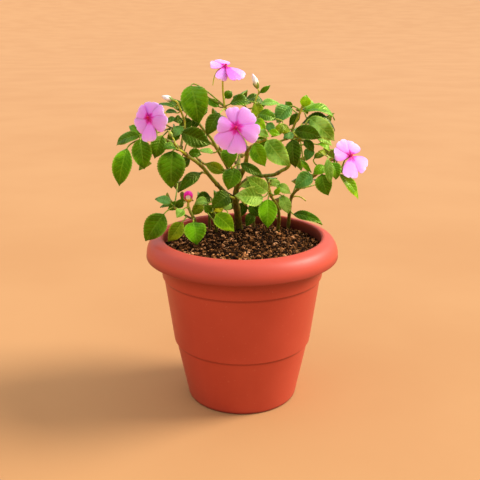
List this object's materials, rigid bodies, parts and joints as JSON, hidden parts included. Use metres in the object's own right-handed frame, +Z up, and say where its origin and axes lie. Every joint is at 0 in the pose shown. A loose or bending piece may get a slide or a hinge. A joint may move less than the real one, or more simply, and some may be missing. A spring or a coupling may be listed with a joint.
{
  "type": "potted garden balsam",
  "caption": "Young balsam plant with flat pink blooms and toothed leaves, standing in a round tapered pot with a wide rolled rim.",
  "frame": {"origin": "centre of the pot's flat base, on the surface it stands on", "axes": "+Z up along the pot's axis; -Y towards the side that shows the blooms; +X to the right when seen from that side"},
  "size_m": [0.254, 0.2, 0.3548],
  "materials": {
    "pot_plastic": "satin",
    "potting_soil": "matte",
    "stem": "matte",
    "foliage": "satin",
    "petal": "matte",
    "bud_white": "matte",
    "bud_magenta": "matte",
    "bud_green": "matte"
  },
  "bodies": {
    "root": {"pot": "pot_plastic", "soil": "potting_soil", "main_stem": "stem", "bloom_left": "petal", "bloom_centre": "petal", "bloom_top": "petal", "bloom_right": "petal", "bud_white_left": "bud_white", "bud_white_top": "bud_white", "bud_magenta": "bud_magenta", "bud_green": "bud_green", "shoot_left_tip": "foliage", "shoot_left_middle": "foliage", "shoot_left_upper": "foliage", "shoot_top": "foliage", "shoot_trunk": "foliage", "shoot_trunk_low": "foliage", "shoot_left_inner": "foliage", "shoot_left_low": "foliage", "shoot_upper_low": "foliage", "shoot_upper_inner": "foliage", "shoot_centre_right": "foliage", "shoot_right_upper": "foliage", "shoot_right_middle": "foliage", "shoot_back_left": "foliage", "shoot_back_centre": "foliage", "shoot_back_right": "foliage", "stem_right": "foliage", "stem_centre": "foliage", "stem_left_low": "foliage", "stem_front": "foliage", "stem_back_low": "foliage", "stem_back_left": "foliage"}
  },
  "joints": []
}
